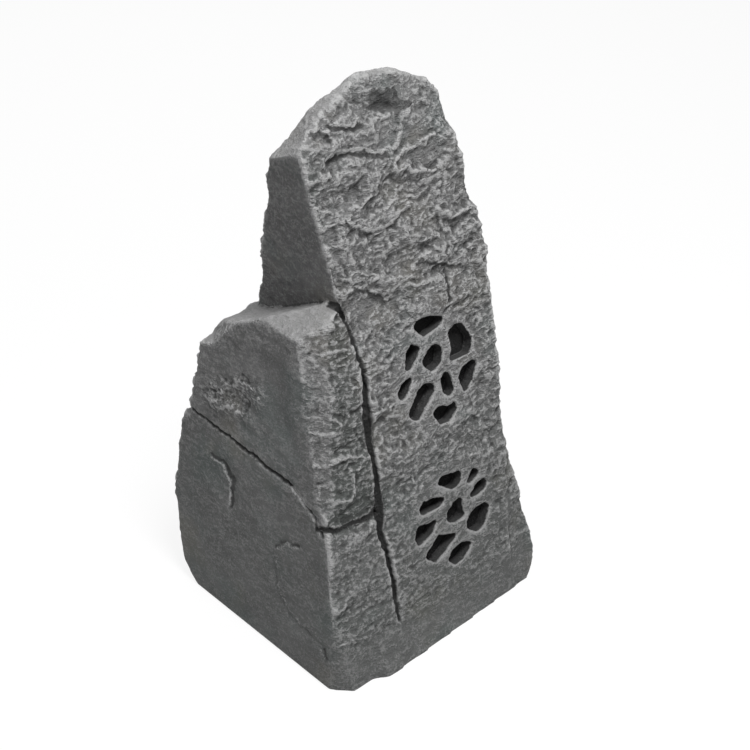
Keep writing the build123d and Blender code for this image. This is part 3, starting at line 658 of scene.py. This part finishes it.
def rock_finish():
    material, sheet, place, coat = finish("rock_resin", Specular_IOR_Level=0.25)
    crest = sheet.attribute("crest")
    ridge = sheet.attribute("ridge")
    rough = sheet.attribute("rough")
    crack = sheet.attribute("crack")
    sky = sheet.attribute("sky")
    rim = sheet.attribute("rim")
    gloom = sheet.attribute("gloom")
    dust = sheet.attribute("dust")
    dull = sheet.attribute("dull")
    grille = sheet.attribute("grille")
    bent = sheet.scaled(sheet.noise(place, 70.0, 3.0, 0.6, 6.0, "Color"), 0.010)
    level = sheet.vector("ADD", sheet.stretched(place, (0.45, 0.45, 1.0)), bent)
    streak = 1 - 4.0 * sheet.noise(level, 130.0, 2.0, 0.5).away(0.5)
    finer = 1 - 4.0 * sheet.noise(level, 290.0, 3.0, 0.5, 1.0).away(0.5)
    fine = sheet.noise(place, 460.0, 4.0, 0.65, 2.0)
    pits = sheet.noise(place, 1100.0, 2.0, 0.6, 3.0)
    blotch = sheet.noise(place, 20.0, 4.0, 0.6, 5.0)
    damp = sheet.noise(place, 11.0, 3.0, 0.55, 4.0)
    rust = sheet.noise(place, 14.0, 3.0, 0.55, 9.0)
    relief = streak * (0.0001 + 0.0015 * rough) + finer * (0.0001 + 0.0017 * rough)
    relief = relief + fine * 0.0024 + pits * 0.0004

    tone = (0.5 * streak + 0.3 * finer) * rough + fine * (1 - 0.6 * rough)
    body = sheet.mix(tone.step(0.30, 0.80), grey(0.078), grey(0.134))
    body = sheet.mix(blotch.step(0.38, 0.68) * 0.5, body, grey(0.160))
    body = sheet.mix(damp.step(0.50, 0.68) * 0.45, body, (0.076, 0.098, 0.094, 1))
    body = sheet.mix(rust.step(0.52, 0.70) * 0.40, body, (0.140, 0.131, 0.110, 1))
    # Painted top light: upward faces painted paler
    body = sheet.mix(dust * 0.66, body, grey(0.260))
    # Painted shade on the shoulder's front (dull), and colour darker towards the bottom (low)
    rise = sheet.add("ShaderNodeSeparateXYZ", {}, {"Vector": place}, "Z")
    low = (1 - rise.step(0.02, 0.32)) * (0.25 + 0.75 * rough)
    body = sheet.mix(0.75 * low + 0.55 * dull, body, (0.052, 0.058, 0.054, 1))
    proud = 0.35 * (streak - 0.6) + 0.35 * (finer - 0.6) + 1.0 * (fine - 0.5)
    brushed = (proud + 0.10 * ridge + 0.14 * crest).step(0.06, 0.36) * (0.15 + 0.85 * rough)
    edge = (0.50 * ridge + 0.35 * crest + 1.8 * (fine - 0.5)).step(0.60, 1.25) * (1 - 0.5 * grille)
    # Pale dry brushing on edges (edge), and the painted highlight along each ledge's lip (line)
    line = (1.6 * rim + 1.8 * (fine - 0.5) + 0.3 * (finer - 0.6)).step(0.40, 0.90)
    # Pale dry brushing, held back on the shoulder's front where it is painted as shade, and towards the
    # bottom
    body = sheet.mix(brushed * (0.62 - 0.14 * dull - 0.10 * low), body, grey(0.40))
    body = sheet.mix(edge.most(line) * 0.60, body, grey(0.38))
    # Painted shade in the hollows between ridges, crests and proud grain
    painted_hollow_shade = (-0.40 * ridge - 0.30 * crest - 1.0 * proud * rough).step(0.12, 0.70)
    body = sheet.mix(painted_hollow_shade * 0.60, body, grey(0.028))
    # Painted shade at the foot of the ledges and in the crown's hollow
    body = sheet.mix((1.3 * gloom + 0.4 * (streak - 0.6)).step(0.15, 0.75) * 0.75, body, grey(0.026))
    # Painted shade: the cracks and the inner walls of the grille holes painted nearly black
    body = sheet.mix((0.85 * sheet.attribute("hole")).most(0.9 * crack), body, grey(0.010))
    # Painted shade: where a point sees little sky, as inside the shell, its colour goes nearly black
    shade = sky.step(0.02, 0.30)
    body = sheet.mix(shade, sheet.mix(0.8, body, grey(0.008)), body)
    coat(Base_Color=body, Roughness=0.90 - 0.15 * brushed, Normal=bump(sheet, relief, 1.0))
    return material


def plastic_finish():
    material, sheet, place, coat = finish("black_plastic", Specular_IOR_Level=0.45)
    grain = sheet.noise(place, 1300.0, 3.0, 0.6)
    cloud = sheet.noise(place, 40.0, 4.0, 0.6, 2.0)
    scuff = sheet.noise(sheet.stretched(place, (1.0, 0.12, 0.5)), 170.0, 3.0, 0.6, 5.0)
    body = sheet.mix(cloud.step(0.30, 0.70), grey(0.013), grey(0.030))
    body = sheet.mix(scuff.step(0.60, 0.74) * 0.5, body, grey(0.065))
    coat(Base_Color=body, Roughness=0.40 + 0.30 * cloud, Normal=bump(sheet, grain * 0.00015, 1.0))
    return material


def rubber_finish():
    material, sheet, place, coat = finish("rubber", Specular_IOR_Level=0.35)
    speckle = sheet.noise(place, 2100.0, 2.0, 0.6)
    bloom = sheet.noise(place, 70.0, 4.0, 0.6, 3.0)
    body = sheet.mix(bloom.step(0.40, 0.70), grey(0.011), grey(0.028))
    coat(Base_Color=body, Roughness=0.60 + 0.25 * bloom, Normal=bump(sheet, speckle * 0.00010, 1.0))
    return material


def zinc_finish():
    material, sheet, place, coat = finish("zinc_steel")
    bent = sheet.scaled(sheet.noise(place, 300.0, 2.0, 0.5, 1.0, "Color"), 0.002)
    patches = sheet.cells(sheet.vector("ADD", place, bent), 380.0)
    turned = sheet.noise(sheet.stretched(place, (1.0, 0.2, 1.0)), 900.0, 3.0, 0.6, 2.0)
    dull = sheet.noise(place, 55.0, 4.0, 0.6, 4.0)
    body = sheet.mix(patches.step(0.10, 0.75), (0.62, 0.63, 0.65, 1), (0.47, 0.48, 0.50, 1))
    stained = dull.step(0.52, 0.70)
    body = sheet.mix(stained * 0.5, body, (0.42, 0.41, 0.37, 1))
    coat(Base_Color=body, Metallic=1 - 0.25 * stained, Roughness=0.26 + 0.20 * patches + 0.15 * dull,
         Normal=bump(sheet, turned * 0.00006, 1.0))
    return material


def basket_finish():
    material, sheet, place, coat = finish("basket_steel", Coat_Roughness=0.25, Specular_IOR_Level=0.5)
    peel = sheet.noise(place, 520.0, 2.0, 0.5)
    cloud = sheet.noise(place, 50.0, 4.0, 0.6, 2.0)
    chips = sheet.noise(place, 240.0, 4.0, 0.7, 4.0)
    body = sheet.mix(cloud.step(0.30, 0.70), grey(0.014), grey(0.032))
    body = sheet.mix(chips.step(0.70, 0.76) * 0.6, body, grey(0.20))
    coat(Base_Color=body, Roughness=0.34 + 0.20 * cloud, Coat_Weight=0.35 - 0.25 * cloud,
         Normal=bump(sheet, peel * 0.00012, 1.0))
    return material


def from_axis(sheet, place):
    """Distance to the nearer of the two driver axes."""
    radii = []
    for across, up in grille_centres.values():
        middle = front_face.origin + across * front_face.across + up * front_face.up
        offset = sheet.vector("SUBTRACT", place, tuple(middle))
        sideways = sheet.vector("CROSS_PRODUCT", offset, tuple(front_face.out))
        radii.append(sheet.vector("LENGTH", sideways, out="Value"))
    return radii[0].least(radii[1])


def cone_finish():
    material, sheet, place, coat = finish("cone_plastic", Specular_IOR_Level=0.5)
    rings = (from_axis(sheet, place) * (2 * pi / 0.0030)).wave()
    mica = sheet.cells(place, 1500.0)
    cloud = sheet.noise(place, 80.0, 3.0, 0.6, 2.0)
    body = sheet.mix(cloud.step(0.30, 0.70), grey(0.022), grey(0.045))
    body = sheet.mix((0.16 - mica).step(0.0, 0.08) * 0.6, body, grey(0.22))
    coat(Base_Color=body, Roughness=0.36 + 0.25 * cloud,
         Normal=bump(sheet, rings * 0.00006 + mica * 0.00004, 1.0))
    return material


def spider_finish():
    material, sheet, place, coat = finish("spider_cloth", Specular_IOR_Level=0.2)
    across = sheet.dot(place, tuple(front_face.across)) * (2 * pi / 0.0011)
    up = sheet.dot(place, tuple(front_face.up)) * (2 * pi / 0.0011)
    threads = (across.wave() * up.wave()).most(0.35 * across.wave()).most(0.35 * up.wave())
    soaked = sheet.noise(place, 120.0, 4.0, 0.6, 2.0)
    fuzz = sheet.noise(place, 1800.0, 2.0, 0.6, 3.0)
    body = sheet.mix(threads.step(-0.2, 0.8), (0.30, 0.17, 0.055, 1), (0.62, 0.42, 0.17, 1))
    body = sheet.mix(soaked.step(0.45, 0.72) * 0.6, body, (0.36, 0.20, 0.07, 1))
    coat(Base_Color=body, Roughness=0.70 + 0.2 * soaked,
         Normal=bump(sheet, threads * 0.00012 + fuzz * 0.00008, 1.0))
    return material


def winding_finish():
    material, sheet, place, coat = finish("copper", Coat_Roughness=0.15)
    turns = (sheet.dot(place, tuple(front_face.out)) * (2 * pi / 0.00042)).wave()
    varnish = sheet.noise(place, 160.0, 3.0, 0.6, 2.0)
    body = sheet.mix(turns.step(-0.9, 0.6), (0.22, 0.075, 0.030, 1), (0.68, 0.32, 0.16, 1))
    body = sheet.mix(varnish.step(0.48, 0.70) * 0.5, body, (0.45, 0.18, 0.07, 1))
    coat(Base_Color=body, Metallic=0.75 + 0.25 * turns.step(-0.9, 0.6), Roughness=0.24 + 0.25 * varnish,
         Coat_Weight=0.6 * varnish, Normal=bump(sheet, turns * 0.00008, 1.0))
    return material


def ferrite_finish():
    material, sheet, place, coat = finish("ferrite", Specular_IOR_Level=0.4)
    grain = sheet.noise(place, 1100.0, 4.0, 0.7)
    cloud = sheet.noise(place, 60.0, 4.0, 0.6, 2.0)
    ground = sheet.noise(sheet.stretched(place, (0.12, 1.0, 1.0)), 420.0, 3.0, 0.6, 5.0)
    body = sheet.mix(grain.step(0.35, 0.68), grey(0.034), grey(0.085))
    body = sheet.mix(cloud.step(0.45, 0.70) * 0.5, body, (0.062, 0.056, 0.052, 1))
    coat(Base_Color=body, Roughness=0.50 + 0.35 * ground,
         Normal=bump(sheet, grain * 0.00012 + ground * 0.00005, 1.0))
    return material


def tin_finish():
    material, sheet, place, coat = finish("tinned_brass")
    drag = sheet.noise(sheet.stretched(place, (0.2, 1.0, 1.0)), 1400.0, 3.0, 0.6)
    wear = sheet.noise(place, 420.0, 3.0, 0.6, 2.0)
    body = sheet.mix(wear.step(0.50, 0.66), (0.72, 0.71, 0.67, 1), (0.66, 0.54, 0.30, 1))
    coat(Base_Color=body, Metallic=1 - 0.1 * wear, Roughness=0.22 + 0.22 * drag,
         Normal=bump(sheet, drag * 0.00004, 1.0))
    return material


def foam_finish():
    material, sheet, place, coat = finish("black_foam", Specular_IOR_Level=0.15)
    pores = sheet.cells(place, 720.0)
    strands = sheet.cells(place, 720.0, "DISTANCE_TO_EDGE")
    faded = sheet.noise(place, 90.0, 3.0, 0.6, 2.0)
    # Painted shade: the pores painted darker than the strands between them
    body = sheet.mix(strands.step(0.02, 0.16), grey(0.030), grey(0.006))
    body = sheet.mix(faded.step(0.45, 0.72) * 0.4, body, grey(0.022))
    coat(Base_Color=body, Roughness=0.86 + 0.12 * pores, Normal=bump(sheet, strands * -0.0016, 1.0))
    return material


finishes = {
    "rock_resin": rock_finish(), "black_plastic": plastic_finish(), "rubber": rubber_finish(),
    "zinc_steel": zinc_finish(), "basket_steel": basket_finish(), "cone_plastic": cone_finish(),
    "spider_cloth": spider_finish(), "copper": winding_finish(), "ferrite": ferrite_finish(),
    "tinned_brass": tin_finish(), "black_foam": foam_finish(),
}
for subpart in frame["record"]["subparts"]:
    for slot in nodes[subpart["node"]].material_slots:
        slot.material = finishes[subpart["material_slot"]]


def driver_radius(places, across, up):
    """Distance of places from a driver's axis."""
    offset = places - (front_face.origin + across * front_face.across + up * front_face.up)
    return np.linalg.norm(offset - (offset @ front_face.out)[:, None] * front_face.out, axis=1)


def foam_pores():
    """Geometry Nodes: pricks the skin of a foam disc with open pores."""
    inputs = {"Foam": "Geometry", "Pores": "Float", "Depth": "Float", "Finish": "Material"}
    tree, sheet, given, names = modelling_tree("foam_pores", inputs)
    place = sheet.add("GeometryNodeInputPosition", {}, {})
    normal = sheet.add("GeometryNodeInputNormal", {}, {})
    open_pore = 1 - sheet.cells(place, given["Pores"]).step(0.15, 0.55)
    shift = sheet.scaled(normal, -1 * given["Depth"] * open_pore)
    geometry = sheet.add("GeometryNodeSetPosition", {}, {"Geometry": given["Foam"], "Offset": shift})
    end_tree(sheet, geometry, given["Finish"])
    return tree, names


# Soft rings round each cone: slot, and where they leave the cone and reach the basket
bending = {"surround": ("rubber", 0.044, 0.053), "spider": ("spider_cloth", 0.0145, 0.0305)}
pore_tree, pore_names = foam_pores()
for place, (across, up) in grille_centres.items():
    foam = merged_copy(f"{place}_foam", f"{place}_foam_screen")
    on_grid(foam, foam_grid)
    amounts = {"Pores": 420.0, "Depth": 0.0006, "Finish": finishes["black_foam"]}
    run_tree(foam, pore_tree, pore_names, amounts)
    shade_smooth(foam)
    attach(foam, "housing")
    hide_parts(f"{place}_foam_screen")

    for kind, (slot, inner, outer) in bending.items():
        ring = merged_copy(f"{place}_{kind}_ring", f"{place}_{kind}")
        shade_smooth(ring)
        ring.data.set_sharp_from_angle(angle=radians(40))
        ring.data.materials.clear()
        ring.data.materials.append(finishes[slot])
        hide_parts(f"{place}_{kind}")
        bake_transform(ring)
        weights = 1 - ramp(driver_radius(points_of(ring.data), across, up), inner, outer)

rock = make_rock()
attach(rock, "housing")
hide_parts("rock_shell")


def watched_rays(sheet):
    """1 for rays that show the backdrop to the camera, straight or in a reflection, and 0 for the rest."""
    kinds = ("Is Camera Ray", "Is Glossy Ray", "Is Transmission Ray")
    camera_ray, glossy, through = (sheet.add("ShaderNodeLightPath", {}, {}, kind) for kind in kinds)
    return camera_ray.most(glossy).most(through)


# Studio
floor_shape = bmesh.new()
bmesh.ops.create_grid(floor_shape, x_segments=1, y_segments=1, size=40.0)
floor_mesh = bpy.data.meshes.new("floor")
floor_shape.to_mesh(floor_mesh)
floor_shape.free()
floor = new_object("floor", floor_mesh)
floor_material = bpy.data.materials.new("pale_floor")
floor_material.use_nodes = True
floor_sheet = Sheet(floor_material.node_tree)
floor_material.node_tree.nodes.remove(floor_material.node_tree.nodes["Principled BSDF"])
pale = floor_sheet.add("ShaderNodeBsdfDiffuse", {}, {"Color": grey(0.55)})
glow = floor_sheet.add("ShaderNodeEmission", {}, {"Color": grey(1.0), "Strength": 1.08})
blend = floor_sheet.add("ShaderNodeMixShader", {}, {0: watched_rays(floor_sheet) * 0.80, 1: pale, 2: glow})
floor_end = floor_material.node_tree.nodes["Material Output"]
floor_material.node_tree.links.new(blend.socket, floor_end.inputs["Surface"])
floor.data.materials.append(floor_material)

world = bpy.data.worlds.new("studio")
scene.world = world
world.use_nodes = True
world_sheet = Sheet(world.node_tree)
background = world.node_tree.nodes["Background"]
background.inputs["Color"].default_value = grey(1.0)
brightness = 0.50 + 0.42 * watched_rays(world_sheet)
world.node_tree.links.new(brightness.socket, background.inputs["Strength"])


def lamp(name, place, aim, size, power):
    data = bpy.data.lights.new(name, "AREA")
    data.shape = "DISK"
    data.size = size
    data.energy = power
    made = bpy.data.objects.new(name, data)
    scene.collection.objects.link(made)
    made.location = place
    made.rotation_euler = (Vector(place) - Vector(aim)).to_track_quat("Z", "Y").to_euler()


lamp("key_lamp", (-0.10, -0.75, 2.10), (0, 0, 0.25), 0.7, 46.0)
lamp("fill_lamp", (-1.7, -1.2, 1.2), (0, 0, 0.25), 1.4, 5.0)
lamp("back_lamp", (0.9, 1.7, 1.5), (0, 0, 0.25), 1.4, 9.0)

scene.view_settings.view_transform = "Standard"
